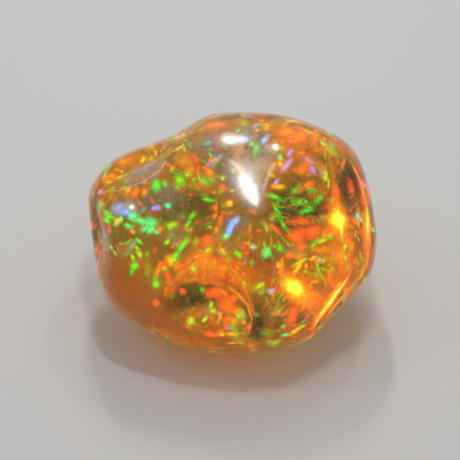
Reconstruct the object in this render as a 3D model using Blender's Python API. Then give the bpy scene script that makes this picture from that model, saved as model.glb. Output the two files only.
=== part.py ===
"""Polished fire opal nugget, modelled in Blender in metres, with +Z up.

The stone is one solid. Its form is set out in the viewer's frame: right, up, and out towards a
viewer who looks down on it from VIEW_ELEVATION. OUTLINE is its edge across that frame. A dome in
front of the outline and another behind it make the body, and flats and scoops are ground into
both. The stone then stands on its flat base, with the origin under the middle of its box.
Lengths are written in millimetres and turned into metres once, at the end.
"""

import math
from dataclasses import dataclass

import bmesh
import bpy
from mathutils import Matrix, Vector

METRES_PER_MM = 0.001
VIEW_ELEVATION = math.radians(40.0)

# The grid on each side of the cube that is blown up into the stone.
FACES_PER_SIDE = 28

# The body: depths of the two domes, how boxy they are, and how far the outline leans back.
FRONT_DEPTH = 5.9
BACK_DEPTH = 6.3
BOXINESS = 2.3
LEAN = -0.25

# What is ground off one side is felt on the other this far from the outline, as a share of its dome.
CARRY_REACH = 0.45

# The flat base, this far below the middle of the outline, and the rounding where it meets the body.
BASE_DROP = 5.0
BASE_ROUNDING = 0.5

# Tumbling at the end wears every ridge down a little, this many times.
TUMBLING_PASSES = 3

# The stone's edge as the viewer sees it, (right, up), anticlockwise from the right.
OUTLINE = [
    (7.50, -0.20),
    (7.20, 1.95),
    (6.85, 3.25),
    (6.42, 4.20),
    (5.78, 4.83),
    (4.85, 5.34),
    (3.80, 5.77),
    (2.85, 6.05),
    (1.70, 6.22),
    (0.50, 6.25),
    (-0.72, 6.22),
    (-1.40, 6.05),
    (-2.10, 5.68),
    (-3.45, 4.88),
    (-4.93, 4.34),
    (-5.77, 4.00),
    (-6.50, 3.50),
    (-7.03, 2.92),
    (-7.38, 2.30),
    (-7.50, 1.65),
    (-7.30, -0.10),
    (-6.87, -2.50),
    (-6.55, -3.34),
    (-6.08, -4.02),
    (-5.42, -4.50),
    (-3.35, -5.64),
    (-2.30, -6.05),
    (-0.10, -6.25),
    (2.90, -5.98),
    (3.70, -5.70),
    (4.43, -5.18),
    (6.00, -3.54),
    (6.84, -2.70),
    (7.22, -2.05),
    (7.42, -1.23),
]
STEPS_PER_SPAN = 12


@dataclass(frozen=True)
class Flat:
    """A plane that the dome doesn't reach past: it goes through a point and falls by two slopes."""

    right: float
    up: float
    out: float
    slope_right: float
    slope_up: float
    rounding: float

    def height(self, right, up):
        """How far out the plane is above a place in the viewer's frame."""
        return self.out + self.slope_right * (right - self.right) + self.slope_up * (up - self.up)


@dataclass(frozen=True)
class Scoop:
    """An oval hollow, pressed straight back from the viewer. A high edge power makes a soft rim."""

    right: float
    up: float
    half_length: float
    half_width: float
    turn: float
    depth: float
    edge_power: float

    def depth_at(self, right, up):
        """How deep the hollow is at a place in the viewer's frame, from 0 outside it."""
        turn = math.radians(self.turn)
        along = (right - self.right) * math.cos(turn) + (up - self.up) * math.sin(turn)
        across = (up - self.up) * math.cos(turn) - (right - self.right) * math.sin(turn)
        reach = (along / self.half_length) ** 2 + (across / self.half_width) ** 2
        return self.depth * (1.0 - reach) ** self.edge_power if reach < 1.0 else 0.0


# Three planes meet at one low peak on the face, and their edges make a V above it.
FRONT_FLATS = [
    Flat(right=1.3, up=1.5, out=5.60, slope_right=0.22, slope_up=-0.06, rounding=1.3),
    Flat(right=1.3, up=1.5, out=5.60, slope_right=0.00, slope_up=-0.20, rounding=1.0),
    Flat(right=1.3, up=1.5, out=5.60, slope_right=-0.26, slope_up=-0.06, rounding=1.3),
    Flat(right=5.5, up=2.5, out=3.90, slope_right=-1.30, slope_up=-0.10, rounding=0.9),
    Flat(right=5.1, up=-3.6, out=2.90, slope_right=-0.95, slope_up=0.95, rounding=1.3),
    Flat(right=-3.2, up=-4.2, out=3.60, slope_right=0.35, slope_up=0.85, rounding=1.5),
]

FRONT_SCOOPS = [
    Scoop(right=-4.7, up=3.30, half_length=2.6, half_width=0.95, turn=29, depth=1.05, edge_power=1.6),
    Scoop(right=-2.9, up=5.35, half_length=1.7, half_width=1.1, turn=-40, depth=0.90, edge_power=2.0),
    Scoop(right=-6.75, up=-0.20, half_length=2.3, half_width=0.65, turn=-80, depth=0.85, edge_power=1.6),
    Scoop(right=-1.25, up=-3.45, half_length=2.40, half_width=1.70, turn=-8, depth=0.55, edge_power=1.7),
    Scoop(right=3.9, up=-1.4, half_length=2.1, half_width=1.3, turn=35, depth=0.30, edge_power=2.0),
]

BACK_FLATS = [
    Flat(right=0.0, up=2.0, out=5.10, slope_right=0.18, slope_up=-0.30, rounding=1.8),
    Flat(right=4.2, up=1.0, out=4.40, slope_right=-0.75, slope_up=-0.20, rounding=1.8),
    Flat(right=-4.8, up=1.5, out=3.90, slope_right=0.80, slope_up=-0.25, rounding=1.8),
    Flat(right=0.8, up=4.6, out=3.20, slope_right=-0.10, slope_up=-1.00, rounding=1.6),
]

BACK_SCOOPS = [
    Scoop(right=2.6, up=3.4, half_length=2.4, half_width=1.5, turn=-20, depth=0.60, edge_power=2.2),
    Scoop(right=-3.4, up=2.4, half_length=2.0, half_width=1.3, turn=50, depth=0.50, edge_power=2.2),
    Scoop(right=-0.5, up=0.6, half_length=2.2, half_width=1.2, turn=10, depth=0.35, edge_power=2.2),
]


def soft_least(first, second, rounding):
    """The smaller of two heights, with the corner between them rounded."""
    blend = max(rounding - abs(first - second), 0.0) / rounding
    return min(first, second) - blend * blend * rounding / 4.0


def outline_radii():
    """(angle, radius) all round the outline, from a smooth closed curve through its points."""
    count = len(OUTLINE)
    radii = []
    for index in range(count):
        before, start, end, after = (Vector(OUTLINE[(index + k) % count]) for k in (-1, 0, 1, 2))
        for step in range(STEPS_PER_SPAN):
            t = step / STEPS_PER_SPAN
            point = 0.5 * (
                2.0 * start
                + (end - before) * t
                + (2.0 * before - 5.0 * start + 4.0 * end - after) * t**2
                + (3.0 * start - before - 3.0 * end + after) * t**3
            )
            radii.append((math.atan2(point.y, point.x), point.length))
    return sorted(radii)


def radius_at(radii, angle):
    """The outline's radius at an angle, between the two nearest points of outline_radii."""
    low, high = 0, len(radii) - 1
    if angle < radii[low][0] or angle >= radii[high][0]:
        (start, first), (end, second) = radii[high], radii[low]
        span = end - start + 2.0 * math.pi
        share = (angle - start) % (2.0 * math.pi) / span
        return first + (second - first) * share
    while high - low > 1:
        middle = (low + high) // 2
        if radii[middle][0] <= angle:
            low = middle
        else:
            high = middle
    (start, first), (end, second) = radii[low], radii[high]
    return first + (second - first) * (angle - start) / (end - start)


def ground_off(right, up, dome, flats, scoops):
    """How much the flats and scoops take off a dome of this height."""
    left = dome
    for flat in flats:
        left = soft_least(left, flat.height(right, up), flat.rounding)
    return dome - left + sum(scoop.depth_at(right, up) for scoop in scoops)


def place(direction, radii):
    """Where the stone's surface is, in the viewer's frame, along a direction of the round ball."""
    across = math.hypot(direction.x, direction.y)
    angle = math.atan2(direction.y, direction.x)
    shrink = (across**BOXINESS + abs(direction.z) ** BOXINESS) ** (-1.0 / BOXINESS)
    radius = radius_at(radii, angle) * across * shrink
    right, up = radius * math.cos(angle), radius * math.sin(angle)
    share = abs(direction.z) * shrink
    front_cut = ground_off(right, up, FRONT_DEPTH * share, FRONT_FLATS, FRONT_SCOOPS)
    back_cut = ground_off(right, up, BACK_DEPTH * share, BACK_FLATS, BACK_SCOOPS)
    # Near the outline both sides' cuts are felt, so that the two domes meet with no step.
    carried = max(0.0, 1.0 - share / CARRY_REACH) ** 2
    if direction.z >= 0.0:
        out = FRONT_DEPTH * share - front_cut + carried * back_cut
    else:
        out = -BACK_DEPTH * share + back_cut - carried * front_cut
    out += LEAN * up
    base = (-BASE_DROP - up * math.cos(VIEW_ELEVATION)) / math.sin(VIEW_ELEVATION)
    return Vector((right, up, -soft_least(-out, -base, BASE_ROUNDING)))


def make_stone(collection):
    """The whole stone: a cube's grid blown up to a ball, and each point moved to the surface."""
    mesh = bpy.data.meshes.new("fire_opal")
    grid = bmesh.new()
    bmesh.ops.create_cube(grid, size=2.0)
    bmesh.ops.subdivide_edges(grid, edges=grid.edges[:], cuts=FACES_PER_SIDE - 1, use_grid_fill=True)
    radii = outline_radii()
    for vertex in grid.verts:
        spread = Vector(math.tan(c * math.pi / 4.0) for c in vertex.co)
        vertex.co = place(spread.normalized(), radii)
    for _ in range(TUMBLING_PASSES):
        bmesh.ops.smooth_vert(
            grid, verts=grid.verts, factor=0.5, use_axis_x=True, use_axis_y=True, use_axis_z=True
        )
    # From the viewer's frame to the world: the viewer is in front, towards -Y, and above.
    to_world = Matrix.Rotation(math.pi / 2.0 - VIEW_ELEVATION, 4, "X")
    bmesh.ops.transform(grid, matrix=to_world, verts=grid.verts)
    low = Vector(min(v.co[axis] for v in grid.verts) for axis in range(3))
    high = Vector(max(v.co[axis] for v in grid.verts) for axis in range(3))
    foot = Vector(((low.x + high.x) / 2.0, (low.y + high.y) / 2.0, low.z))
    bmesh.ops.translate(grid, vec=-foot, verts=grid.verts)
    bmesh.ops.scale(grid, vec=Vector((METRES_PER_MM,) * 3), verts=grid.verts)
    bmesh.ops.recalc_face_normals(grid, faces=grid.faces)
    grid.to_mesh(mesh)
    grid.free()
    mesh.shade_smooth()
    stone = bpy.data.objects.new("fire_opal", mesh)
    collection.objects.link(stone)
    return stone


def opal_material():
    """Clear orange stone with a glassy polish."""
    material = bpy.data.materials.new("fire_opal")
    material.use_nodes = True
    shader = material.node_tree.nodes["Principled BSDF"]
    shader.inputs["Base Color"].default_value = (0.78, 0.24, 0.03, 1.0)
    shader.inputs["Roughness"].default_value = 0.08
    shader.inputs["Metallic"].default_value = 0.0
    shader.inputs["IOR"].default_value = 1.45
    shader.inputs["Transmission Weight"].default_value = 0.5
    return material


def main():
    for obj in list(bpy.data.objects):
        bpy.data.objects.remove(obj)
    collection = bpy.data.collections.new("fire_opal")
    bpy.context.scene.collection.children.link(collection)
    stone = make_stone(collection)
    stone.data.materials.append(opal_material())


main()
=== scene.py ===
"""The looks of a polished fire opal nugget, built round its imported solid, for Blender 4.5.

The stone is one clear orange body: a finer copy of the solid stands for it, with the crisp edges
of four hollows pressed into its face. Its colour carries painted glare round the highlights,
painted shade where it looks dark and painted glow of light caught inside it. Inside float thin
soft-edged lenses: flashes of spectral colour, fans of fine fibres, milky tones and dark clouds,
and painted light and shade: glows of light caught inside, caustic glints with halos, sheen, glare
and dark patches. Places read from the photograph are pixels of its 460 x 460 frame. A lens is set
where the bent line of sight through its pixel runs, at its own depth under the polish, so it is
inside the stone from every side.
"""

from __future__ import annotations

import logging
import math
import random
from dataclasses import dataclass, field
from enum import Enum

import bmesh
import bpy
from mathutils import Matrix, Vector, noise
from mathutils.bvhtree import BVHTree

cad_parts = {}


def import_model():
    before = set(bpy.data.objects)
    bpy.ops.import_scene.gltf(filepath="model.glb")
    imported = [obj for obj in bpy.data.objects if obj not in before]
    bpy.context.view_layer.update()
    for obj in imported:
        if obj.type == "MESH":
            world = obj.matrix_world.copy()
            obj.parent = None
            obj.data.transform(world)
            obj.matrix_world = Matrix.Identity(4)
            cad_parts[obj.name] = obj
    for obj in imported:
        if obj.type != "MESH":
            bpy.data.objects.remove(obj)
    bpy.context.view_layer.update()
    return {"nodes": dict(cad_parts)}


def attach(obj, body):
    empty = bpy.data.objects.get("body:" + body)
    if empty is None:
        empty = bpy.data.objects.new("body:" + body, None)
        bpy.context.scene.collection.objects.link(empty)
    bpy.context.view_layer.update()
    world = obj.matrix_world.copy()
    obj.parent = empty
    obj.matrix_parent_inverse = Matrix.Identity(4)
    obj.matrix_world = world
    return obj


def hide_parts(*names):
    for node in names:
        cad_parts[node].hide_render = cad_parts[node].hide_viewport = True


MM = 0.001
log = logging.getLogger("opal")

Colour = tuple[float, float, float]
Span = tuple[float, float]
Pixel = tuple[float, float]

# The matrices of some lenses, each with its brightness.
Laid = list[tuple[Matrix, float]]

# The colour sockets of a Mix node, by number, because its other sockets share their names.
MIX_SHARE, MIX_FIRST, MIX_SECOND, MIX_RESULT = 0, 6, 7, 2

# The middle of a noise's values.
NOISE_MIDDLE = 0.5


def select_only(obj: bpy.types.Object) -> None:
    """Makes one object the only one selected, and the active one.

    Args:
        obj: the object.
    """
    bpy.ops.object.select_all(action="DESELECT")
    obj.select_set(True)
    bpy.context.view_layer.objects.active = obj


def new_object(name: str, data: bpy.types.ID) -> bpy.types.Object:
    """Links a new object that sits at the origin.

    Args:
        name: the object's name.
        data: its mesh, camera or lamp.

    Returns:
        The object.
    """
    obj = bpy.data.objects.new(name, data)
    bpy.context.scene.collection.objects.link(obj)
    return obj


def axes_at(place: Vector, along: Vector, facing: Vector) -> Matrix:
    """Builds the matrix of a place with its own axes.

    Args:
        place: the origin.
        along: the way that the X axis runs, as nearly as the Z axis allows.
        facing: the way that the Z axis faces.

    Returns:
        The matrix, without any scale.
    """
    facing = facing.normalized()
    side = facing.cross(along).normalized()
    matrix = Matrix((side.cross(facing), side, facing)).transposed().to_4x4()
    matrix.translation = place
    return matrix


class Value:
    """A number socket of a shader, on which Python's operators add Math nodes."""

    def __init__(self, tree: bpy.types.NodeTree, socket: bpy.types.NodeSocket) -> None:
        """Wraps an output socket of a tree."""
        self.tree = tree
        self.socket = socket

    def _math(self, operation: str, *terms: Value | float) -> Value:
        """Adds one Math node.

        Args:
            operation: what the node works out.
            terms: its inputs, in order.

        Returns:
            Its output.
        """
        node = self.tree.nodes.new("ShaderNodeMath")
        node.operation = operation
        for index, term in enumerate(terms):
            if isinstance(term, Value):
                self.tree.links.new(term.socket, node.inputs[index])
            else:
                node.inputs[index].default_value = term
        return Value(self.tree, node.outputs[0])

    def __add__(self, other: Value | float) -> Value:
        """The sum."""
        return self._math("ADD", self, other)

    __radd__ = __add__

    def __sub__(self, other: Value | float) -> Value:
        """The difference."""
        return self._math("SUBTRACT", self, other)

    def __rsub__(self, other: float) -> Value:
        """A number less this value."""
        return self._math("SUBTRACT", other, self)

    def __mul__(self, other: Value | float) -> Value:
        """The product."""
        return self._math("MULTIPLY", self, other)

    __rmul__ = __mul__

    def ramp(self, low: float, high: float) -> Value:
        """Turns the value into a smooth step.

        Args:
            low: where the step starts, at 0.
            high: where it ends, at 1.

        Returns:
            The step.
        """
        node = self.tree.nodes.new("ShaderNodeMapRange")
        node.interpolation_type = "SMOOTHSTEP"
        node.inputs["From Min"].default_value = low
        node.inputs["From Max"].default_value = high
        self.tree.links.new(self.socket, node.inputs["Value"])
        return Value(self.tree, node.outputs["Result"])


Input = Value | bpy.types.NodeSocket | float | tuple


class Finish:
    """A material under construction: one Principled shader, and the nodes that feed it."""

    def __init__(self, name: str) -> None:
        """Starts a material with plain settings.

        Args:
            name: the material's name.
        """
        self.material = bpy.data.materials.new(name)
        self.material.use_nodes = True
        self.tree = self.material.node_tree
        self.shader = self.tree.nodes["Principled BSDF"]
        self.output = self.tree.nodes["Material Output"]

    def feed(self, socket: bpy.types.NodeSocket, source: Input) -> None:
        """Links a source to a socket, or writes a plain number or colour into it.

        Args:
            socket: the input socket.
            source: what it gets.
        """
        if isinstance(source, Value):
            self.tree.links.new(source.socket, socket)
        elif isinstance(source, bpy.types.NodeSocket):
            self.tree.links.new(source, socket)
        elif isinstance(source, tuple) and socket.type == "RGBA":
            socket.default_value = (*source, 1.0)
        else:
            socket.default_value = source

    def set(self, **inputs: Input) -> None:
        """Feeds the shader's own sockets, named with underscores for spaces."""
        for name, source in inputs.items():
            self.feed(self.shader.inputs[name.replace("_", " ")], source)

    def node(self, kind: str, settings: dict | None = None, **inputs: Input) -> bpy.types.Node:
        """Adds a node.

        Args:
            kind: the node's type, without the words ShaderNode.
            settings: properties of the node, set before its sockets.
            inputs: its sockets, named with underscores for spaces.

        Returns:
            The new node.
        """
        node = self.tree.nodes.new("ShaderNode" + kind)
        for name, value in (settings or {}).items():
            setattr(node, name, value)
        for name, source in inputs.items():
            self.feed(node.inputs[name.replace("_", " ")], source)
        return node

    def noise(self, size_mm: float, detail: float = 3.0, twist: float = 0.0) -> Value:
        """Adds cloudy noise on the piece's own coordinates.

        Args:
            size_mm: about how far apart its lumps are.
            detail: how many finer layers it has.
            twist: how much it is stirred.

        Returns:
            The noise, mostly between 0.3 and 0.7.
        """
        place = self.node("TexCoord").outputs["Object"]
        cloud = self.node(
            "TexNoise", Vector=place, Scale=1.0 / (size_mm * MM), Detail=detail, Distortion=twist
        )
        return Value(self.tree, cloud.outputs["Fac"])

    def attribute(self, name: str) -> Value:
        """A number that the mesh carries at each point."""
        return Value(self.tree, self.node("Attribute", {"attribute_name": name}).outputs["Fac"])

    def mix(self, first: Input, second: Input, share: Input) -> bpy.types.NodeSocket:
        """Adds a colour between two others.

        Args:
            first: the colour at share 0.
            second: the colour at share 1.
            share: how much of the second.

        Returns:
            The mixed colour's socket.
        """
        node = self.node("Mix", {"data_type": "RGBA"})
        self.feed(node.inputs[MIX_SHARE], share)
        self.feed(node.inputs[MIX_FIRST], first)
        self.feed(node.inputs[MIX_SECOND], second)
        return node.outputs[MIX_RESULT]


@dataclass
class Viewer:
    """The photograph's point of view, and the lines of sight through its pixels."""

    elevation: float = math.radians(40.0)
    frame_pixels: float = 460.0
    stone_width_mm: float = 15.0
    stone_left: float = 91.0
    stone_right: float = 373.3
    stone_top: float = 113.4
    stone_foot: float = 348.7
    lens_mm: float = 180.0
    sensor_mm: float = 36.0
    clip_shares: Span = (0.1, 100.0)
    bend: float = 1.45

    def __post_init__(self) -> None:
        """Works out the axes of the view, the size of a pixel and the camera's distance."""
        self.middle = self.frame_pixels / 2.0
        self.right = Vector((1.0, 0.0, 0.0))
        self.up = Vector((0.0, math.sin(self.elevation), math.cos(self.elevation)))
        self.back = self.right.cross(self.up)
        self.pixel = self.stone_width_mm * MM / (self.stone_right - self.stone_left)
        self.distance = self.pixel * self.frame_pixels * self.lens_mm / self.sensor_mm

    def look_at(self, stone: bpy.types.Object) -> None:
        """Aims so that the stone's outline falls where the photograph has it.

        Args:
            stone: the stone.
        """
        across = [v.co.dot(self.right) for v in stone.data.vertices]
        upward = [v.co.dot(self.up) for v in stone.data.vertices]
        aside = (self.stone_left + self.stone_right) / 2.0 - self.middle
        below = (self.stone_top + self.stone_foot) / 2.0 - self.middle
        aim = self.right * ((min(across) + max(across)) / 2.0 - aside * self.pixel)
        aim += self.up * ((min(upward) + max(upward)) / 2.0 + below * self.pixel)
        self.eye = aim + self.back * self.distance

    def learn(self, stone: bpy.types.Object) -> None:
        """Keeps the stone's finished surface, for the lines of sight to meet."""
        self.skin = BVHTree.FromPolygons(
            [v.co for v in stone.data.vertices], [p.vertices for p in stone.data.polygons]
        )

    def pixel_of(self, point: Vector) -> Vector:
        """Finds the pixel at which a point of the object shows.

        Args:
            point: the point.

        Returns:
            The pixel's place, across and down the photograph.
        """
        away = point - self.eye
        share = self.distance / (-away.dot(self.back) * self.pixel)
        aside, above = away.dot(self.right) * share, away.dot(self.up) * share
        return Vector((self.middle + aside, self.middle - above))

    def sight(self, x: float, y: float) -> tuple[Vector, Vector, Vector]:
        """Follows the line of sight through a pixel into the stone.

        Args:
            x: the pixel's place across the photograph.
            y: its place down the photograph.

        Returns:
            Where it meets the polish, the way it goes on inside, and the polish's normal there.

        Raises:
            ValueError: where the pixel shows no stone.
        """
        aside = self.right * ((x - self.middle) * self.pixel) - self.up * ((y - self.middle) * self.pixel)
        way = (aside - self.back * self.distance).normalized()
        spot, normal, _, _ = self.skin.ray_cast(self.eye, way)
        if spot is None:
            raise ValueError(f"pixel {x}, {y} shows no stone")
        ratio = 1.0 / self.bend
        cosine = -normal.dot(way)
        inward = way * ratio + normal * (ratio * cosine - math.sqrt(1.0 - ratio**2 * (1.0 - cosine**2)))
        return spot, inward.normalized(), normal

    def make_camera(self) -> None:
        """Adds the camera."""
        camera = bpy.data.cameras.new("camera")
        camera.lens = self.lens_mm
        camera.sensor_width = self.sensor_mm
        camera.clip_start, camera.clip_end = (share * self.distance for share in self.clip_shares)
        obj = new_object("camera", camera)
        obj.location = self.eye
        obj.rotation_euler = (math.pi / 2.0 - self.elevation, 0.0, 0.0)
        bpy.context.scene.camera = obj


@dataclass(frozen=True)
class Patch:
    """A soft oval on the face of the stone, in pixels, turned in degrees anticlockwise."""

    x: float
    y: float
    length: float
    width: float
    turn: float = 0.0
    strength: float = 1.0
    fade: float = 1.4

    def at(self, pixel: Vector) -> float:
        """Finds how strong the patch is at a pixel.

        Args:
            pixel: the place on the photograph.

        Returns:
            Its strength there.
        """
        turn = math.radians(self.turn)
        aside, up = pixel.x - self.x, self.y - pixel.y
        along = aside * math.cos(turn) + up * math.sin(turn)
        across = up * math.cos(turn) - aside * math.sin(turn)
        reach = (2.0 * along / self.length) ** 2 + (2.0 * across / self.width) ** 2
        return self.strength * math.exp(-self.fade * reach)


@dataclass(frozen=True)
class Hollow:
    """A shallow hollow behind a crisp edge. Along the edge's pixels, it lies on the left."""

    edge: tuple[Pixel, ...]
    reach: float
    depth_mm: float
    lip: float = 3.5
    fade: float = 1.5
    taper: float = 0.6

    def depth_at(self, pixel: Vector) -> float:
        """Finds how deep the hollow is at a pixel.

        Args:
            pixel: the place on the photograph.

        Returns:
            The depth in millimetres, which grows fast behind the edge and then fades.
        """
        nearest, share = self.reach, -1.0
        for index, (start, end) in enumerate(zip(self.edge, self.edge[1:])):
            run = Vector((end[0] - start[0], start[1] - end[1]))
            off = Vector((pixel.x - start[0], start[1] - pixel.y))
            along = max(0.0, min(1.0, off.dot(run) / run.length_squared))
            gap = (off - run * along).length
            if gap < nearest:
                nearest = gap
                share = (index + along) / (len(self.edge) - 1) if run.x * off.y > run.y * off.x else -1.0
        if share <= 0.0 or share >= 1.0:
            return 0.0
        inward, outward = min(1.0, nearest / self.lip), 1.0 - nearest / self.reach
        depth = self.depth_mm * inward**2 * (3.0 - 2.0 * inward)
        return depth * outward**self.fade * math.sin(math.pi * share) ** self.taper


# The crescent scoop, the scoop on the left edge, the hollow at the bottom and the right facet.
HOLLOWS = (
    Hollow(((96, 198), (116, 191), (136, 184), (150, 176), (160, 167), (166, 157)), 24.0, 0.22),
    Hollow(((110, 256), (108, 240), (104, 228), (99, 216), (97, 200)), 12.0, 0.14),
    Hollow((
        (248, 338), (252, 320), (248, 306), (236, 292), (216, 283), (200, 277.5), (180, 281),
        (168, 286), (164, 296),
    ), 34.0, 0.20),
    Hollow(((336, 218), (334, 196), (332, 166), (327, 146)), 20.0, 0.12),
)


class Tint(Enum):
    """Colours laid over the body's orange one after the other, in linear light; some are painted light and
    shade.
    """

    OLIVE = (0.430, 0.350, 0.025)
    MOSS = (0.120, 0.120, 0.012)
    BROWN = (0.120, 0.045, 0.003)
    ROSY = (0.760, 0.280, 0.025)
    AMBER = (0.920, 0.420, 0.015)
    LILAC = (0.330, 0.290, 0.340)
    HAZE = (0.380, 0.350, 0.310)


# Where each tint shows in the photograph.
TINTED = {
    Tint.OLIVE: (
        Patch(158, 222, 120, 90, -10), Patch(240, 230, 90, 80, 0, 0.4), Patch(207, 308, 78, 50, 5, 0.4),
        Patch(225, 150, 120, 60), Patch(320, 165, 50, 60, -40, 0.7), Patch(270, 300, 50, 60, 0, 0.6),
        Patch(172, 150, 40, 20, 30, 0.7), Patch(240, 340, 110, 22, 0, 0.9),
        Patch(122, 235, 50, 60, 0, 0.7),
    ),
    # Painted shade: darkens the centre and the pool under the tent, where the stone looks dark.
    Tint.MOSS: (
        Patch(298, 207, 78, 76), Patch(232, 238, 50, 40, 0, 0.5), Patch(192, 203, 80, 36, -10, 0.7),
        Patch(210, 165, 50, 30, -30, 0.4), Patch(192, 299, 58, 30, 5, 0.8),
    ),
    # Painted shade: darkens the right facet, the pool under the tent and bands along the edges.
    Tint.BROWN: (
        Patch(349, 184, 36, 72, 5), Patch(257, 325, 20, 36), Patch(345, 325, 30, 40, 0, 0.3),
        Patch(201, 297, 50, 18, 5, 0.5), Patch(225, 228, 40, 40, 0, 0.3), Patch(97, 240, 14, 90, 5, 0.7),
        Patch(250, 116, 150, 16, 0, 1.0), Patch(110, 330, 60, 20, -35, 0.4), Patch(96, 215, 14, 60, 0, 0.7),
    ),
    Tint.ROSY: (
        Patch(128, 290, 60, 110, 20), Patch(168, 322, 70, 30, -25, 0.8), Patch(112, 205, 24, 60, 0, 0.3),
        Patch(216, 312, 56, 34, 0, 0.5), Patch(294, 138, 44, 50, 15, 0.7),
        Patch(238, 222, 76, 60, 0, 0.5), Patch(272, 290, 44, 40, 0, 0.6),
    ),
    # Partly painted glow of light caught inside the stone, at the right rim, over the tent and at the lower
    # right; elsewhere an amber tone.
    Tint.AMBER: (
        Patch(328, 292, 90, 60, 40), Patch(294, 140, 34, 56, 15, 0.4), Patch(212, 268, 84, 34, 0, 0.9),
        Patch(352, 240, 36, 60), Patch(322, 135, 40, 20, -35, 0.6), Patch(178, 158, 34, 14, 25, 0.5),
        Patch(117, 171, 44, 12, 32, 0.8), Patch(268, 286, 34, 36, 0, 0.6),
    ),
    Tint.LILAC: (
        Patch(124, 208, 54, 26, 5, 0.9), Patch(160, 196, 70, 40, 0, 0.5), Patch(250, 130, 50, 20, 0, 0.5),
        Patch(236, 222, 56, 44, 0, 0.25), Patch(231, 227, 24, 14, 60, 0.8),
    ),
    # Painted glare: greys the stone round the highlights and along the pale rims of the scoops.
    Tint.HAZE: (
        Patch(238, 158, 62, 84, -15, 0.95), Patch(262, 150, 40, 50, 30, 0.6),
        Patch(143, 170, 56, 16, 28, 0.95), Patch(104, 238, 11, 42, 5, 0.95), Patch(131, 207, 22, 12, 0, 0.6),
        Patch(249, 188, 60, 30, -62, 0.8), Patch(138, 183.5, 40, 8, 20, 0.85),
        Patch(156, 173, 26, 8, 42, 0.9), Patch(213, 141, 60, 44, 15, 0.75),
    ),
}


# Smooth places, where the photograph shows few flashes.
QUIET = (
    Patch(128, 290, 90, 130, 20, 1.4), Patch(160, 328, 90, 30, -25, 1.2), Patch(349, 180, 34, 60, 5),
)


@dataclass(frozen=True)
class Mottle:
    """Blotches of a tint all over the stone, where a noise of one size climbs its step."""

    colour: Colour
    size_mm: float
    detail: float
    twist: float
    step: Span
    share: float


@dataclass(frozen=True)
class Polish:
    """The body's finish: clear orange stone with a glassy polish, greyed by painted glare and rougher round
    the highlights.

    A noise is given by its size in millimetres, its detail and its twist.
    """

    pale: Colour = (0.97, 0.46, 0.008)
    deep: Colour = (0.84, 0.40, 0.010)
    clouds: tuple[float, ...] = (4.0, 4.0, 0.8)
    cloud_step: Span = (0.35, 0.65)
    wisps: tuple[float, ...] = (1.5, 5.0, 1.5)
    wisp_edge: float = 0.55
    cloud_edge: float = 0.45
    tint_step: Span = (0.18, 0.80)
    tint_share: float = 0.9
    mottles: tuple[Mottle, ...] = (
        Mottle((0.20, 0.13, 0.03), 0.80, 4.0, 0.8, (0.50, 0.66), 0.5),
        Mottle((0.22, 0.46, 0.04), 0.40, 4.0, 1.0, (0.52, 0.66), 0.7),
        Mottle((0.95, 0.24, 0.04), 0.31, 4.0, 0.6, (0.54, 0.68), 0.7),
        Mottle((0.30, 0.62, 0.05), 0.13, 3.0, 0.4, (0.57, 0.68), 0.6),
        Mottle((1.00, 0.36, 0.05), 0.15, 3.0, 0.3, (0.58, 0.69), 0.6),
    )
    transmission: float = 0.72
    roughness: float = 0.02
    worn_mm: float = 2.5
    worn_step: Span = (0.3, 0.8)
    worn_roughness: float = 0.02
    glare_step: Span = (0.1, 0.9)
    glare_roughness: float = 0.09
    coat: float = 0.04
    glare_coat: float = 0.9
    coat_roughness: float = 0.22
    waves: tuple[float, ...] = (1.1, 2.0)
    grit: tuple[float, ...] = (0.09, 1.0)
    grit_share: float = 0.30
    bump: float = 0.05
    bump_mm: float = 0.05
    depth: Colour = (1.0, 0.64, 0.06)
    density: float = 110.0

    def colour(self, finish: Finish) -> bpy.types.NodeSocket:
        """Lays the tints and the mottles over the stone's orange.

        Args:
            finish: the material under construction.

        Returns:
            The socket of the colour all over the stone.
        """
        cloud = finish.noise(*self.clouds)
        wisps = finish.noise(*self.wisps)
        colour = finish.mix(self.pale, self.deep, cloud.ramp(*self.cloud_step))
        for tint in Tint:
            ragged = finish.attribute(tint.name.lower()) + (wisps - NOISE_MIDDLE) * self.wisp_edge
            ragged = ragged + (cloud - NOISE_MIDDLE) * self.cloud_edge
            colour = finish.mix(colour, tint.value, ragged.ramp(*self.tint_step) * self.tint_share)
        for mottle in self.mottles:
            spots = finish.noise(mottle.size_mm, mottle.detail, mottle.twist).ramp(*mottle.step)
            colour = finish.mix(colour, mottle.colour, spots * mottle.share)
        return colour

    def dress(self, body: bpy.types.Object, bend: float) -> None:
        """Gives the body its clear, tinted, slightly milky finish, with painted glare and shade among the
        tints.

        Args:
            body: the stone.
            bend: its index of refraction.
        """
        finish = Finish("opal_body")
        # The mask of the painted glare round the highlights, which also roughens, coats and grits the polish
        # there.
        haze = finish.attribute("haze").ramp(*self.glare_step)
        worn = finish.noise(self.worn_mm).ramp(*self.worn_step)
        finish.set(
            Base_Color=self.colour(finish),
            Roughness=worn * self.worn_roughness + self.roughness + haze * self.glare_roughness,
            IOR=bend,
            Transmission_Weight=self.transmission,
            Coat_Weight=haze * self.glare_coat + self.coat,
            Coat_Roughness=self.coat_roughness,
        )
        waves = finish.noise(*self.waves) + finish.noise(*self.grit) * haze * self.grit_share
        ripple = finish.node("Bump", Height=waves, Strength=self.bump, Distance=self.bump_mm * MM)
        finish.set(Normal=ripple.outputs[0])
        depth = finish.node("VolumeAbsorption", Color=self.depth, Density=self.density)
        finish.feed(finish.output.inputs["Volume"], depth.outputs[0])
        body.data.materials.append(finish.material)


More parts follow.
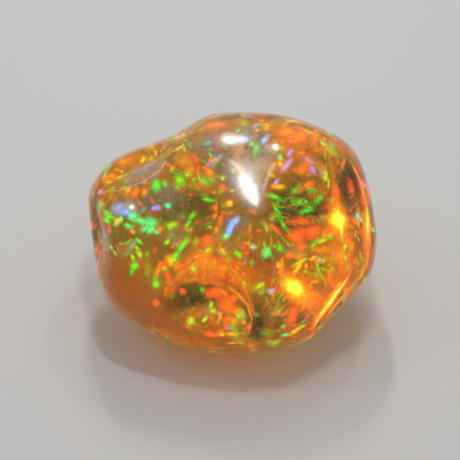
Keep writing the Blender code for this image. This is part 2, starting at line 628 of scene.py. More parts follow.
@dataclass
class StoneBody:
    """The clear orange body: a fine copy of the solid, with the hollows and tints in its face."""

    viewer: Viewer
    levels: int = 2
    weld: float = 1e-6
    tint_wrap: float = 0.4
    back_olive: float = 0.5
    polish: Polish = Polish()

    def build(self, solid: bpy.types.Object) -> bpy.types.Object:
        """Makes the body from a copy of the solid.

        Args:
            solid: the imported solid, whose loose triangles are welded in the copy.

        Returns:
            The body.
        """
        body = new_object("opal_body", solid.data.copy())
        body.data.materials.clear()
        select_only(body)
        bpy.ops.object.mode_set(mode="EDIT")
        bpy.ops.mesh.select_all(action="SELECT")
        bpy.ops.mesh.remove_doubles(threshold=self.weld)
        bpy.ops.mesh.tris_convert_to_quads(face_threshold=1.0, shape_threshold=1.0)
        bpy.ops.object.mode_set(mode="OBJECT")
        fine = body.modifiers.new("fine", "SUBSURF")
        fine.levels = fine.render_levels = self.levels
        bpy.ops.object.modifier_apply(modifier="fine")
        bpy.ops.object.shade_smooth()
        return body

    def carve(self, body: bpy.types.Object) -> None:
        """Presses the hollows into the face of the stone, always inwards.

        Args:
            body: the stone.
        """
        places = [v.co.copy() for v in body.data.vertices]
        normals = [v.normal.copy() for v in body.data.vertices]
        for place, normal in zip(places, normals):
            if normal.dot(self.viewer.back) > 0.0:
                pixel = self.viewer.pixel_of(place)
                place -= normal * (sum(hollow.depth_at(pixel) for hollow in HOLLOWS) * MM)
        body.data.vertices.foreach_set("co", [c for place in places for c in place])
        body.data.update()

    def paint(self, body: bpy.types.Object) -> None:
        """Stores at each point how much of each tint shows there.

        Args:
            body: the stone.
        """
        pixels = [self.viewer.pixel_of(v.co) for v in body.data.vertices]
        facing = [v.normal.dot(self.viewer.back) for v in body.data.vertices]
        for tint, patches in TINTED.items():
            behind = self.back_olive if tint is Tint.OLIVE else 0.0
            values = [
                max(0.0, face) ** self.tint_wrap * min(1.0, sum(patch.at(pixel) for patch in patches))
                + max(0.0, -face) * behind
                for pixel, face in zip(pixels, facing)
            ]
            layer = body.data.attributes.new(tint.name.lower(), "FLOAT", "POINT")
            layer.data.foreach_set("value", values)

    def dress(self, body: bpy.types.Object) -> None:
        """Gives the body its finish."""
        self.polish.dress(body, self.viewer.bend)


@dataclass(frozen=True)
class Glint:
    """The finish of one kind of lens: its glow, with grainy soft edges and a dust inside."""

    heart: Colour
    edge: Colour
    power: float
    grain_mm: float = 0.20
    grain: float = 0.75
    opacity: float = 1.0
    swell: float = 1.6
    dust: float = 0.45
    grain_detail: float = 4.0
    grain_twist: float = 0.5
    colour_step: Span = (0.2, 0.9)
    dust_size: float = 0.4
    dust_step: Span = (0.34, 0.60)
    roughness: float = 0.5

    def dress(self, piece: bpy.types.Object) -> None:
        """Gives the lenses of this kind their light.

        Args:
            piece: the mesh of the lenses.
        """
        finish = Finish(piece.name)
        grain = finish.noise(self.grain_mm, self.grain_detail, self.grain_twist)
        soft = finish.attribute("soft")
        glow = finish.attribute("glow")
        grain = grain - NOISE_MIDDLE
        colour = finish.mix(self.edge, self.heart, (soft + grain).ramp(*self.colour_step))
        dust = finish.noise(self.grain_mm * self.dust_size).ramp(*self.dust_step)
        dust = dust * self.dust + (1.0 - self.dust)
        alpha = (soft + grain * self.grain).ramp(0.0, 1.0) * dust * glow * self.opacity
        finish.set(
            Base_Color=colour,
            Roughness=self.roughness,
            Emission_Color=colour,
            Emission_Strength=self.power,
            Alpha=alpha,
        )
        finish.material.cycles.emission_sampling = "NONE"
        piece.data.materials.append(finish.material)


class Kind(Enum):
    """The kinds of lens: the colours of the play of light, then milky tones and painted light and shade.

    Each has the colours of its heart and edge and the power of its glow. Then come the size and
    strength of its grain, its opacity, its swell and its dust, where they aren't a flash's.
    """

    GREEN = Glint((0.08, 0.95, 0.04), (0.06, 0.45, 0.02), 1.5)
    LIME = Glint((0.45, 0.95, 0.03), (0.24, 0.50, 0.02), 1.3)
    YELLOW = Glint((1.00, 0.72, 0.05), (0.80, 0.40, 0.01), 1.4)
    ORANGE = Glint((1.00, 0.38, 0.03), (0.80, 0.22, 0.01), 1.2)
    RED = Glint((1.00, 0.18, 0.04), (0.85, 0.10, 0.01), 1.4)
    TEAL = Glint((0.08, 0.85, 0.75), (0.05, 0.50, 0.34), 2.0)
    BLUE = Glint((0.16, 0.36, 1.00), (0.12, 0.26, 0.70), 3.6)
    VIOLET = Glint((0.16, 0.10, 1.00), (0.14, 0.08, 0.60), 6.0)
    # Painted glow of light caught inside the stone.
    VEIL = Glint((0.92, 0.40, 0.02), (0.86, 0.27, 0.01), 0.50, 0.9, 0.9, 0.50, 1.2, 0.2)
    # Painted glow round the caustic glints.
    HALO = Glint((1.00, 0.60, 0.05), (1.00, 0.38, 0.01), 1.1, 0.4, 0.6, 0.70, 1.0)
    # Painted caustic glints, where light gathers inside the stone.
    HOT = Glint((1.00, 0.88, 0.40), (1.00, 0.62, 0.04), 3.0, 0.3, 0.6, 0.9, 1.5)
    # Partly painted sheen, partly the stone's milky lavender tone.
    SHEEN = Glint((0.40, 0.29, 0.36), (0.27, 0.27, 0.20), 0.9, 0.3, 1.0, 0.45, 1.2)
    # Painted glare and sheen.
    MIST = Glint((0.80, 0.80, 0.80), (0.70, 0.66, 0.62), 0.7, 0.3, 1.2, 0.30, 1.2)
    ROSE = Glint((0.52, 0.19, 0.04), (0.44, 0.16, 0.03), 0.40, 0.9, 0.9, 0.85, 1.2)
    # Partly painted shade where the stone looks dark, partly dark clouds scattered through it.
    CLOUD = Glint((0.090, 0.066, 0.008), (0.110, 0.075, 0.010), 0.3, 0.7, 1.0, 0.75, 1.2)


# What stands out in the photograph: x, y, length, width in pixels, turn in degrees from level,
# anticlockwise, and depth under the polish in millimetres.
SEEN = {
    Kind.GREEN: (
        (156, 185, 14, 10, 85, 0.5), (179.5, 180, 13, 9, 115, 0.5), (124.5, 187, 8, 4, 15, 0.4),
        (107, 213, 14, 5, -20, 0.4), (109, 217, 15, 5, -15, 0.4), (107, 221, 12, 5, -20, 0.4),
        (183, 245, 22, 6, 60, 0.5), (175, 257, 18, 6, 60, 0.6), (134.5, 266, 10, 9, 60, 0.4),
        (132, 272, 8, 5, 60, 0.4), (139, 241, 10, 4, -45, 0.4), (156, 284, 7, 7, 0, 0.6),
        (192, 216, 12, 5, 50, 0.8), (188, 224, 10, 4, 55, 0.8), (256, 149, 13, 6, 75, 0.6),
        (252, 144, 6, 5, 0, 0.6), (238, 130.5, 6, 4, 30, 0.5), (275, 197, 17, 5, -15, 0.9),
        (277, 210, 16, 5, -58, 0.9), (283, 224, 16, 4, -62, 1.0), (280, 248, 7, 6, 90, 0.8),
        (238, 254, 10, 6, -50, 0.7), (209, 200, 14, 5, -10, 1.4), (300, 202, 18, 8, 0, 1.6),
        (307, 210, 16, 7, 30, 1.8), (296, 190, 12, 7, 40, 1.8), (318, 199, 14, 6, 60, 1.6),
        (203, 289, 7, 7, 0, 0.8), (311, 190, 12, 6, -20, 1.6), (187, 175, 7, 5, 20, 0.9),
    ),
    Kind.LIME: (
        (171, 225.5, 13, 9, 10, 0.4), (137, 248, 9, 4, -45, 0.4), (139, 254, 9, 5, -50, 0.4),
        (132.5, 257, 8, 4, -60, 0.4), (167, 242, 8, 5, 50, 0.5), (111, 247, 9, 3.5, -55, 0.3),
        (115, 253, 8, 3.5, -45, 0.3), (322, 142.5, 10, 5, 105, 0.5), (285, 124, 7, 5, 20, 0.5),
        (259, 286, 11, 5, 30, 0.7), (211, 305, 8, 5, 80, 0.6), (213, 311, 8, 5, 0, 0.6),
        (191, 321, 9, 8, 60, 0.6), (205, 319, 9, 4, 45, 0.6), (322, 241, 12, 5, 20, 0.9),
        (326, 176, 13, 6, 80, 0.9), (329, 184, 11, 5, 70, 1.0), (301, 327.5, 10, 4, 25, 0.4),
        (193, 268, 7, 6, 30, 0.5), (176, 138, 7, 5, 40, 0.5), (145, 172, 6, 4, 40, 0.4),
        (208, 250, 10, 6, 45, 1.0), (345, 247, 7, 5, 80, 0.8), (300, 262, 18, 4, 28, 0.9),
        (223, 178, 6, 5, 10, 0.7), (280, 148, 6, 4, 20, 0.5),
    ),
    Kind.YELLOW: (
        (171, 261, 7, 7, 0, 0.4), (298.5, 267, 16, 4.5, 55, 0.5), (313.5, 258, 9, 3.5, 25, 0.6),
        (280, 164, 6, 5, 80, 0.5), (117.5, 221.5, 8, 5, 80, 0.3), (229.5, 203, 7, 6, 0, 0.7),
        (232, 334, 11, 4, 0, 0.4), (143, 159.5, 8, 5, 60, 0.4), (294.5, 331.5, 10, 5, 30, 0.4),
        (278, 186.5, 13, 5, 0, 0.4), (222, 334.5, 6, 4, 0, 0.4), (223, 251, 10, 4, -50, 0.5),
        (179, 148, 9, 6, 20, 0.9), (257, 130, 6, 5, 20, 0.5),
    ),
    Kind.ORANGE: (
        (281.7, 264, 12, 4, 80, 0.4), (223, 268, 8, 7, 0, 0.5), (216, 230, 7, 4, 80, 0.5),
        (343, 164, 15, 4, 65, 0.4), (210, 172, 13, 6, -50, 0.6), (122.5, 161.7, 7, 5, -20, 0.3),
        (308, 185, 12, 7, 20, 0.9), (213, 160, 10, 7, 20, 0.8), (160, 229, 7, 6, 0, 0.5),
        (234, 322, 6, 6, 40, 0.6), (158, 271, 9, 4, 80, 0.5), (145, 192, 9, 6, 60, 0.5),
        (222, 291, 15, 5, -35, 0.8), (215, 216, 7, 4, 60, 0.9), (110, 176, 11, 5, 15, 0.3),
        # The narrow lenses from 356, 172 to 339, 301 are painted glow along the right rim.
        (341, 255, 13, 8, 70, 1.0), (356, 172, 26, 4, -62, 0.2), (362.5, 190, 28, 4, -72, 0.2),
        (367.5, 212, 28, 4, -80, 0.2), (369.5, 235, 26, 4, 90, 0.2), (368, 255, 24, 4, 82, 0.2),
        (362, 273, 22, 4, 60, 0.2), (339, 301, 44, 4, 46, 0.2), (300, 136, 20, 9, 50, 0.6),
        (286, 132, 16, 9, 20, 0.6),
    ),
    Kind.RED: (
        (297, 235.5, 16, 14, 10, 0.5), (312, 231.5, 20, 11, 22, 0.5), (300, 221.5, 24, 8, 5, 0.7),
        (327, 233, 11, 5, 40, 0.5), (206.5, 241, 12, 10, 50, 0.5), (227.5, 305, 16, 14, -70, 0.5),
        (213.5, 293.5, 20, 10, 5, 0.6), (183, 291.5, 8, 6, -30, 0.6), (211.5, 334.5, 14, 5, 0, 0.4),
        (351, 187, 17, 8, 100, 0.5), (337, 193, 18, 6, 95, 0.6), (156, 302.5, 7, 7, 0, 0.5),
        (220.5, 220.5, 12, 4, 75, 0.5), (216, 207.5, 9, 4, 85, 0.7), (300.5, 190, 7, 5, 70, 0.5),
        (292.5, 317, 20, 10, 75, 0.6), (248, 327, 6, 4, 80, 0.4), (135.5, 192.5, 10, 7, 60, 0.5),
        (305, 168, 18, 6, 45, 0.6), (222, 187, 6, 5, 0, 0.8), (109, 230.5, 6, 6, 0, 0.3),
        (234, 298, 8, 6, 40, 0.6), (290, 255, 7, 6, 40, 0.9), (275, 229, 13, 4, -45, 0.6),
        (226, 320, 8, 5, 70, 0.5), (160, 267, 9, 4, 70, 0.6), (205, 283, 9, 5, 10, 0.8),
        (302, 247, 10, 6, 30, 1.0),
    ),
    Kind.TEAL: (
        (151, 222.5, 14, 10, -30, 0.4), (146, 228.5, 11, 6, 20, 0.4), (151, 230, 9, 6, 50, 0.4),
        (266, 253, 11, 8, 60, 0.5), (133.5, 217, 14, 9, -25, 0.5), (226, 236, 8, 6, 60, 0.6),
        (121, 219, 8, 4, 85, 0.4), (285, 335, 9, 4, 5, 0.4), (168, 206, 7, 6, 0, 0.8),
        (157, 232, 6, 5, 0, 0.5), (208, 143, 10, 5, 10, 0.9), (141, 221, 12, 6, -20, 0.4),
        (116, 222, 10, 5, 80, 0.5), (128, 226, 8, 5, -30, 0.6),
    ),
    Kind.BLUE: (
        (119, 209, 14, 10, -10, 0.5), (231, 226.5, 17, 6, 62, 0.5), (243, 139, 10, 8, 0, 0.6),
        (265, 139, 12, 5, 58, 0.6), (253, 247, 7, 5, 0, 0.7), (358, 217, 9, 6, 90, 0.6),
        (229, 233, 8, 5, 60, 0.6), (127, 212, 9, 6, 0, 0.5), (236, 221, 9, 5, 60, 0.7),
    ),
    Kind.VIOLET: (
        (156, 208, 10, 5, 5, 0.4), (286.5, 165, 16, 6, 52, 0.5), (290, 152.5, 9, 4, 55, 0.5),
        (309, 161, 9, 4, -30, 0.5), (313, 170, 10, 4, -65, 0.5), (255, 126, 9, 4, 60, 0.5),
        (249, 117, 7, 5, 0, 0.5), (100, 192, 6, 5, 0, 0.3), (276, 182, 9, 4, 50, 0.6),
    ),
    # Painted glow of light caught inside the stone: the tent above the bottom hollow, the lower right, the
    # right rim and the bottom edge.
    Kind.VEIL: (
        (212, 264, 84, 30, 0, 1.4), (186, 272, 60, 18, 42, 1.2), (238, 276, 70, 20, -48, 1.2),
        (322, 300, 90, 30, 48, 0.9), (290, 138, 40, 50, -40, 1.0), (345, 262, 60, 34, 80, 1.2),
        (298, 288, 90, 44, -25, 1.3), (338, 222, 70, 34, 90, 1.0), (126, 160, 44, 10, 20, 0.4),
        (248, 340, 60, 7, 2, 0.6), (365, 236, 70, 9, 88, 0.4), (172, 334, 50, 9, -22, 0.5),
        (330, 136, 50, 12, -40, 0.6), (212, 262, 60, 40, 0, 1.8), (292, 136, 60, 44, -40, 0.8),
        (173, 288, 30, 11, 52, 0.3), (190, 280, 40, 12, 12, 0.3),
        (213, 283, 38, 11, -18, 0.3), (236, 294, 34, 9, -46, 0.3), (130, 160, 50, 12, 28, 0.5),
    ),
    # Painted glow round the caustic glints at the right and lower right.
    Kind.HALO: (
        (338, 219, 48, 30, 90, 0.9), (339, 221, 30, 26, 0, 0.7), (294, 288, 50, 28, -28, 0.9),
        (328, 304, 64, 16, 52, 0.5), (366, 228, 50, 14, 88, 0.5), (298, 291, 34, 20, -32, 0.8),
        (306, 297, 44, 30, -30, 1.0),
    ),
    # Painted caustic glints, where light gathers inside the stone.
    Kind.HOT: (
        (339, 220, 17, 10, 100, 0.5), (340, 222, 30, 4, 97, 0.4), (338, 219, 17, 10, 15, 0.5),
        (368, 226, 30, 5, 88, 0.3), (294, 287, 21, 13, -28, 0.6), (331, 301, 50, 4, 52, 0.35),
    ),
    # The first five are painted sheen in the crescent scoop and the left scoop; the rest are the stone's
    # milky lavender tone.
    Kind.SHEEN: (
        (143, 173, 66, 26, 31, 0.08), (147, 172, 48, 18, 32, 0.07), (130, 181, 34, 14, 24, 0.07),
        (104, 241, 36, 9, 97, 0.08), (144, 172, 40, 12, 31, 0.12),
        (124, 211, 46, 24, 5, 0.5), (148, 226, 44, 22, -15, 0.6), (172, 196, 60, 38, -10, 0.9),
        (206, 142, 50, 32, 10, 0.7), (254, 130, 50, 18, -5, 0.5), (234, 224, 48, 44, 30, 1.0),
        (296, 252, 40, 26, 10, 1.2), (306, 164, 34, 24, -40, 0.8), (180, 232, 44, 24, 30, 1.0),
        (276, 312, 24, 24, 0, 0.8), (298, 251, 26, 20, 20, 0.8), (208, 311, 22, 16, 30, 0.8),
        (226, 240, 40, 18, -40, 0.9), (150, 300, 60, 40, 30, 1.4),
    ),
    # Painted sheen in the crescent scoop and the left scoop, and painted glare round the highlights at the
    # top and the left.
    Kind.MIST: (
        (142, 169, 56, 18, 28, 0.12), (146, 167, 36, 10, 28, 0.10), (104, 240, 44, 7, 99, 0.12),
        (103.5, 238, 34, 6, 99, 0.07),
        (232, 140, 40, 26, 0, 0.2), (246, 168, 70, 40, -60, 0.3), (262, 160, 60, 44, 60, 0.3),
        (252, 192, 40, 22, -60, 0.2), (276, 148, 24, 18, 0, 0.2), (124, 207, 40, 22, 0, 0.25),
    ),
    Kind.ROSE: (
        (128, 288, 84, 100, 20, 0.7), (166, 322, 90, 34, -25, 0.5), (122, 300, 70, 80, 20, 1.5),
        (110, 274, 40, 56, 10, 0.6),
    ),
    # Painted shade: the pool under the tent, the dark right facet, the dark centre and a dark line on the
    # left edge.
    Kind.CLOUD: (
        (190, 296, 72, 34, 6, 0.9), (182, 290, 44, 20, 14, 0.7), (208, 288, 30, 12, -12, 0.7),
        (257, 326, 24, 40, 0, 0.9), (352, 180, 66, 24, 95, 0.8), (348, 184, 64, 30, 95, 1.3),
        (304, 204, 66, 54, 20, 2.6), (180, 206, 80, 44, -10, 2.4), (240, 222, 54, 46, 0, 2.6),
        (272, 300, 40, 54, 0, 2.2), (97, 212, 40, 8, 95, 0.3),
    ),
}


@dataclass(frozen=True)
class Fan:
    """Fine fibres that spread from one pixel, between two angles and two distances."""

    x: float
    y: float
    first: float
    last: float
    near: float
    far: float
    depth: float
    fibres: dict[Kind, int]
    glow: float = 1.0


FANS = (
    Fan(256, 203, -80, 12, 14, 66, 0.9, {Kind.GREEN: 30, Kind.LIME: 10, Kind.ORANGE: 10, Kind.YELLOW: 3}),
    Fan(
        256, 203, -165, -80, 16, 70, 0.9,
        {Kind.ORANGE: 18, Kind.GREEN: 8, Kind.RED: 6, Kind.VIOLET: 3}, 0.65,
    ),
    Fan(215, 244, -150, -30, 10, 48, 0.8, {Kind.ORANGE: 30, Kind.YELLOW: 12, Kind.VEIL: 20}),
    Fan(
        258, 328, 25, 88, 12, 66, 0.6,
        {Kind.ORANGE: 20, Kind.YELLOW: 10, Kind.GREEN: 6, Kind.LIME: 5}, 0.65,
    ),
    Fan(
        256, 203, 120, 168, 40, 100, 1.0,
        {Kind.GREEN: 7, Kind.ORANGE: 7, Kind.LIME: 3, Kind.TEAL: 2}, 0.35,
    ),
    # Rays round the caustic glint at the right: painted light.
    Fan(338, 219, -70, 70, 8, 34, 0.5, {Kind.ORANGE: 9, Kind.YELLOW: 7}),
)


@dataclass(frozen=True)
class Thread:
    """A fine bright line through several pixels, as a chain of narrow lenses."""

    kind: Kind
    width: float
    depth: float
    glow: float
    points: tuple[Pixel, ...]


# The two orange threads along the tent's edges and the yellow arc below it are painted glow of light
# reflected inside the stone, the pale thread is a painted highlight along the crescent scoop's rim, and the
# yellow thread at the lower right is painted caustic light.
THREADS = (
    Thread(Kind.YELLOW, 3.2, 0.15, 0.22, ((230, 288), (240, 296), (248, 306), (252, 320), (248, 336))),
    Thread(Kind.ORANGE, 6.0, 0.35, 0.2, ((215, 250), (196, 262), (178, 276), (166, 288), (164, 296))),
    Thread(Kind.ORANGE, 6.0, 0.35, 0.2, ((217, 250), (230, 266), (243, 284), (251, 304), (254, 318))),
    Thread(Kind.MIST, 3.4, 0.07, 2.8, (
        (118, 190), (130, 187), (142, 182), (152, 176), (161, 169), (166, 160),
    )),
    Thread(Kind.ORANGE, 6.0, 0.3, 0.1, ((326, 144), (330, 158), (333, 176), (335, 196), (337, 212))),
    Thread(Kind.YELLOW, 5.0, 0.25, 0.6, ((339, 284), (332, 296), (325, 310), (313, 328))),
)


@dataclass
class Inclusions:
    """All that floats inside the body: thin lenses whose edges fade, one mesh for each kind.

    What varies from lens to lens is given by its least and its greatest value. The scattered lenses
    come in clusters, a little tilted, smaller and dimmer on the side that the photograph shows.
    """

    viewer: Viewer
    seed: int = 12
    segments: int = 10
    rings: int = 6
    thickness_mm: float = 0.02
    least_cover_mm: float = 0.06
    thread_links: int = 4
    link_length: float = 0.8
    fibre_px: float = 2.2
    fibre_lengths: Span = (0.15, 0.45)
    fibre_widths: Span = (0.9, 1.8)
    fibre_depths: Span = (0.6, 1.6)
    fibre_glows: Span = (0.2, 0.6)
    fibre_stray: float = 9.0
    cluster_mm: float = 2.5
    cluster_levels: Span = (-0.2, 0.4)
    cluster_offsets: Span = (0.0, 100.0)
    quiet_from: float = -0.6
    shown_from: float = 0.15
    shown_dimming: float = 1.5
    hidden_swell: float = 1.5
    depths_mm: Span = (0.3, 2.6)
    lengths_px: Span = (5.0, 15.0)
    slimness: Span = (0.35, 0.9)
    glows: Span = (0.1, 0.9)
    tilt: float = 0.25
    stray: float = 0.5
    broad: dict[Kind, float] = field(default_factory=lambda: {
        Kind.VEIL: 4.0, Kind.CLOUD: 2.5, Kind.SHEEN: 1.5, Kind.HALO: 2.0,
    })
    scattered: dict[Kind, int] = field(default_factory=lambda: {
        Kind.GREEN: 240, Kind.LIME: 160, Kind.YELLOW: 52, Kind.ORANGE: 170, Kind.RED: 130,
        Kind.TEAL: 50, Kind.BLUE: 40, Kind.VIOLET: 50, Kind.VEIL: 30, Kind.CLOUD: 70, Kind.SHEEN: 90,
        Kind.HALO: 10,
    })

    def master(self) -> bpy.types.Mesh:
        """Models one lens as a ball a unit across, which the matrix of each copy flattens.

        Returns:
            Its mesh.
        """
        bpy.ops.object.select_all(action="DESELECT")
        bpy.ops.mesh.primitive_uv_sphere_add(segments=self.segments, ring_count=self.rings, radius=0.5)
        lens = bpy.context.object
        mesh = lens.data
        bpy.data.objects.remove(lens)
        return mesh

    def seen(self, kind: Kind) -> Laid:
        """Places the lenses of one kind that the photograph shows.

        Args:
            kind: the kind.

        Returns:
            Each one's matrix, across its line of sight, and its brightness.
        """
        laid = []
        for x, y, length, width, turn, depth in SEEN.get(kind, ()):
            swell = kind.value.swell
            laid.append((self.across_sight(x, y, length * swell, width * swell, turn, depth), 1.0))
        return laid

    def across_sight(
        self, x: float, y: float, length: float, width: float, turn: float, depth: float
    ) -> Matrix:
        """Places one lens square to the bent line of sight through a pixel.

        Args:
            x: the pixel's place across the photograph.
            y: its place down the photograph.
            length: the lens's length in pixels.
            width: its width in pixels.
            turn: how far its length is turned from level, in degrees.
            depth: how far below the polish it is, in millimetres.

        Returns:
            The matrix that carries the unit lens there.
        """
        spot, inward, _ = self.viewer.sight(x, y)
        level = (self.viewer.right - inward * self.viewer.right.dot(inward)).normalized()
        angle = math.radians(turn)
        along = level * math.cos(angle) + level.cross(inward) * math.sin(angle)
        size = Matrix.Diagonal(
            (length * self.viewer.pixel, width * self.viewer.pixel, self.thickness_mm * MM, 1.0)
        )
        return axes_at(spot + inward * (depth * MM), along, -inward) @ size

    def threaded(self, kind: Kind) -> Laid:
        """Places the chains of one kind's threads.

        Args:
            kind: the kind.

        Returns:
            Each lens's matrix and brightness.
        """
        laid = []
        for thread in THREADS:
            if thread.kind is not kind:
                continue
            for (x, y), (next_x, next_y) in zip(thread.points, thread.points[1:]):
                span = math.hypot(next_x - x, next_y - y)
                turn = math.degrees(math.atan2(y - next_y, next_x - x))
                for link in range(self.thread_links):
                    share = link / self.thread_links
                    middle = (x + (next_x - x) * share, y + (next_y - y) * share)
                    length = span * self.link_length
                    place = self.across_sight(*middle, length, thread.width, turn, thread.depth)
                    laid.append((place, thread.glow))
        return laid

    def fanned(self, kind: Kind, chance: random.Random) -> Laid:
        """Places the fibres of one kind in every fan.

        Args:
            kind: the kind.
            chance: the source of their spread.

        Returns:
            Each one's matrix and brightness.
        """
        laid = []
        for fan in FANS:
            for _ in range(fan.fibres.get(kind, 0)):
                angle = chance.uniform(fan.first, fan.last)
                length = chance.uniform(*self.fibre_lengths) * (fan.far - fan.near)
                reach = chance.uniform(fan.near + length / 2.0, fan.far - length / 2.0)
                x = fan.x + reach * math.cos(math.radians(angle))
                y = fan.y - reach * math.sin(math.radians(angle))
                width = self.fibre_px * chance.uniform(*self.fibre_widths)
                depth = fan.depth * chance.uniform(*self.fibre_depths)
                turn = angle + chance.gauss(0.0, self.fibre_stray)
                place = self.across_sight(x, y, length, width, turn, depth)
                laid.append((place, chance.uniform(*self.fibre_glows) * fan.glow))
        return laid

    def scatter(self, body: bpy.types.Object, kind: Kind, chance: random.Random) -> Laid:
        """Places small dim lenses of one kind all through the body, longest along the stone's rays.

        Args:
            body: the stone.
            kind: the kind.
            chance: the source of their spread.

        Returns:
            Each one's matrix and brightness.
        """
        faces = body.data.polygons
        heart = sum((v.co for v in body.data.vertices), Vector()) / len(body.data.vertices)
        broad = self.broad.get(kind, 1.0)
        aside = Vector([chance.uniform(*self.cluster_offsets) for _ in range(3)])
        laid = []
        while len(laid) < self.scattered.get(kind, 0):
            face = faces[chance.randrange(len(faces))]
            level = noise.noise(face.center / (self.cluster_mm * MM) + aside)
            if level < chance.uniform(*self.cluster_levels):
                continue
            pixel, facing = self.viewer.pixel_of(face.center), face.normal.dot(self.viewer.back)
            quiet = sum(patch.at(pixel) for patch in QUIET)
            if (facing > self.quiet_from or broad > 1.0) and quiet > chance.random():
                continue
            shown = facing > self.shown_from
            if shown and kind is Kind.HALO:
                continue
            swell, dimming = (1.0, self.shown_dimming) if shown else (self.hidden_swell, 1.0)
            depth = chance.uniform(*self.depths_mm) * MM
            tilted = (face.normal + Vector([chance.gauss(0.0, self.tilt) for _ in range(3)])).normalized()
            ray = face.center - heart - tilted * (face.center - heart).dot(tilted)
            along = Matrix.Rotation(chance.gauss(0.0, self.stray), 3, tilted) @ ray
            length = chance.uniform(*self.lengths_px) * broad * self.viewer.pixel * swell
            width = length * chance.uniform(*self.slimness)
            size = Matrix.Diagonal((length, width, self.thickness_mm * MM, 1.0))
            place = axes_at(face.center - face.normal * depth, along, tilted)
            laid.append((place @ size, chance.uniform(*self.glows) ** dimming))
        return laid

    def tuck(self, point: Vector) -> Vector:
        """Keeps a point under the polish.

        Args:
            point: a point of a lens.

        Returns:
            The point itself, or the nearest that has enough cover.
        """
        spot, normal, _, _ = self.viewer.skin.find_nearest(point)
        cover = self.least_cover_mm * MM
        return spot - normal * cover if (point - spot).dot(normal) > -cover else point

    def build(self, body: bpy.types.Object, kind: Kind) -> bpy.types.Object:
        """Makes all the lenses of one kind.

        Args:
            body: the stone that they are in.
            kind: the kind.

        Returns:
            One mesh, which carries each lens's brightness and how near a point is to its heart.
        """
        chance = random.Random(f"{self.seed} {kind.name}")
        laid = self.seen(kind) + self.threaded(kind) + self.fanned(kind, chance)
        laid += self.scatter(body, kind, chance)
        master = self.master()
        heart = [1.0 - 2.0 * math.hypot(v.co.x, v.co.y) for v in master.vertices]
        grid = bmesh.new()
        glow_layer = grid.verts.layers.float.new("glow")
        soft_layer = grid.verts.layers.float.new("soft")
        for matrix, glow in laid:
            start = len(grid.verts)
            grid.from_mesh(master)
            grid.verts.ensure_lookup_table()
            for vertex, near in zip(grid.verts[start:], heart):
                vertex.co = self.tuck(matrix @ vertex.co)
                vertex[glow_layer] = glow
                vertex[soft_layer] = near
        mesh = bpy.data.meshes.new(f"inclusions_{kind.name.lower()}")
        grid.to_mesh(mesh)
        grid.free()
        bpy.data.meshes.remove(master)
        return new_object(mesh.name, mesh)


@dataclass(frozen=True)
class Lamp:
    """A soft lamp whose highlight runs between two pixels, of a width and power in mm and watts."""

    name: str
    start: Pixel
    end: Pixel
    width: float
    power: float


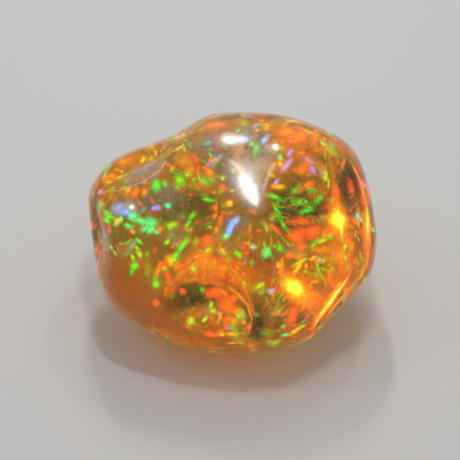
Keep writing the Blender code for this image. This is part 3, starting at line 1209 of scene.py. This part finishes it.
@dataclass
class Studio:
    """A plain pale floor and soft lamps, placed so that their highlights fall as in the photograph."""

    viewer: Viewer
    floor_size: float = 2.0
    floor_drop_mm: float = 0.01
    floor_colour: Colour = (0.70, 0.69, 0.67)
    floor_roughness: float = 0.85
    sky: Colour = (0.95, 0.97, 1.0)
    sky_strength: float = 0.43
    clear_layers: int = 64
    away_mm: float = 90.0
    lamps: tuple[Lamp, ...] = (
        Lamp("streak_lamp", (240, 178), (257, 204), 0.7, 0.010),
        Lamp("streak_tail_lamp", (229, 158), (256, 203), 2.0, 0.004),
        Lamp("arm_lamp", (275, 162), (261, 198), 2.6, 0.0008),
        Lamp("top_lamp", (229, 136.5), (229, 142.5), 4.0, 0.012),
        Lamp("top_glow_lamp", (229, 132), (229, 146), 11.0, 0.005),
        Lamp("side_lamp", (276, 144), (276, 150), 4.0, 0.005),
        Lamp("left_lamp", (131, 205.5), (131, 208.5), 3.0, 0.003),
        Lamp("edge_lamp", (103, 230), (106, 250), 5.0, 0.0008),
    )

    def lay_floor(self) -> None:
        """Lays the floor just under the stone."""
        bpy.ops.object.select_all(action="DESELECT")
        place = (0.0, 0.0, -self.floor_drop_mm * MM)
        bpy.ops.mesh.primitive_plane_add(size=self.floor_size, location=place)
        floor = bpy.context.object
        floor.name = "floor"
        finish = Finish("floor")
        finish.set(Base_Color=self.floor_colour, Roughness=self.floor_roughness)
        floor.data.materials.append(finish.material)

    def mirrored(self, x: float, y: float) -> tuple[Vector, Vector]:
        """Finds where a lamp must stand for its highlight to fall on a pixel.

        Args:
            x: the pixel's place across the photograph.
            y: its place down the photograph.

        Returns:
            The spot on the polish, and the lamp's place.
        """
        spot, _, normal = self.viewer.sight(x, y)
        way = (spot - self.viewer.eye).normalized()
        return spot, spot + (way - normal * (2.0 * way.dot(normal))) * (self.away_mm * MM)

    def hang(self, lamp: Lamp) -> None:
        """Adds one lamp.

        Args:
            lamp: the lamp.
        """
        (first, low), (second, high) = self.mirrored(*lamp.start), self.mirrored(*lamp.end)
        light = bpy.data.lights.new(lamp.name, "AREA")
        light.shape = "ELLIPSE"
        light.size = max((high - low).length, lamp.width * MM)
        light.size_y = lamp.width * MM
        light.energy = lamp.power
        obj = new_object(lamp.name, light)
        middle = (low + high) / 2.0
        obj.matrix_world = axes_at(middle, high - low, middle - (first + second) / 2.0)

    def light(self) -> None:
        """Hangs the lamps and sets the pale surroundings."""
        for lamp in self.lamps:
            self.hang(lamp)
        world = bpy.data.worlds.new("surroundings")
        world.use_nodes = True
        background = world.node_tree.nodes["Background"]
        background.inputs["Color"].default_value = (*self.sky, 1.0)
        background.inputs["Strength"].default_value = self.sky_strength
        scene = bpy.context.scene
        scene.world = world
        scene.view_settings.view_transform = "Standard"
        scene.cycles.transparent_max_bounces = self.clear_layers


def main() -> None:
    """Builds the stone, what floats in it and the studio."""
    logging.basicConfig(level=logging.INFO, format="%(name)s: %(message)s")
    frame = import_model()
    viewer = Viewer()
    stone = StoneBody(viewer)
    body = stone.build(frame["nodes"]["fire_opal"])
    viewer.look_at(body)
    viewer.make_camera()
    stone.carve(body)
    viewer.learn(body)
    stone.paint(body)
    stone.dress(body)
    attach(body, "root")
    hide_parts("fire_opal")
    log.info("%s: %d faces", body.name, len(body.data.polygons))
    inclusions = Inclusions(viewer)
    for kind in Kind:
        piece = inclusions.build(body, kind)
        kind.value.dress(piece)
        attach(piece, "root")
        log.info("%s: %d faces", piece.name, len(piece.data.polygons))
    studio = Studio(viewer)
    studio.lay_floor()
    studio.light()


if __name__ == "__main__":
    main()
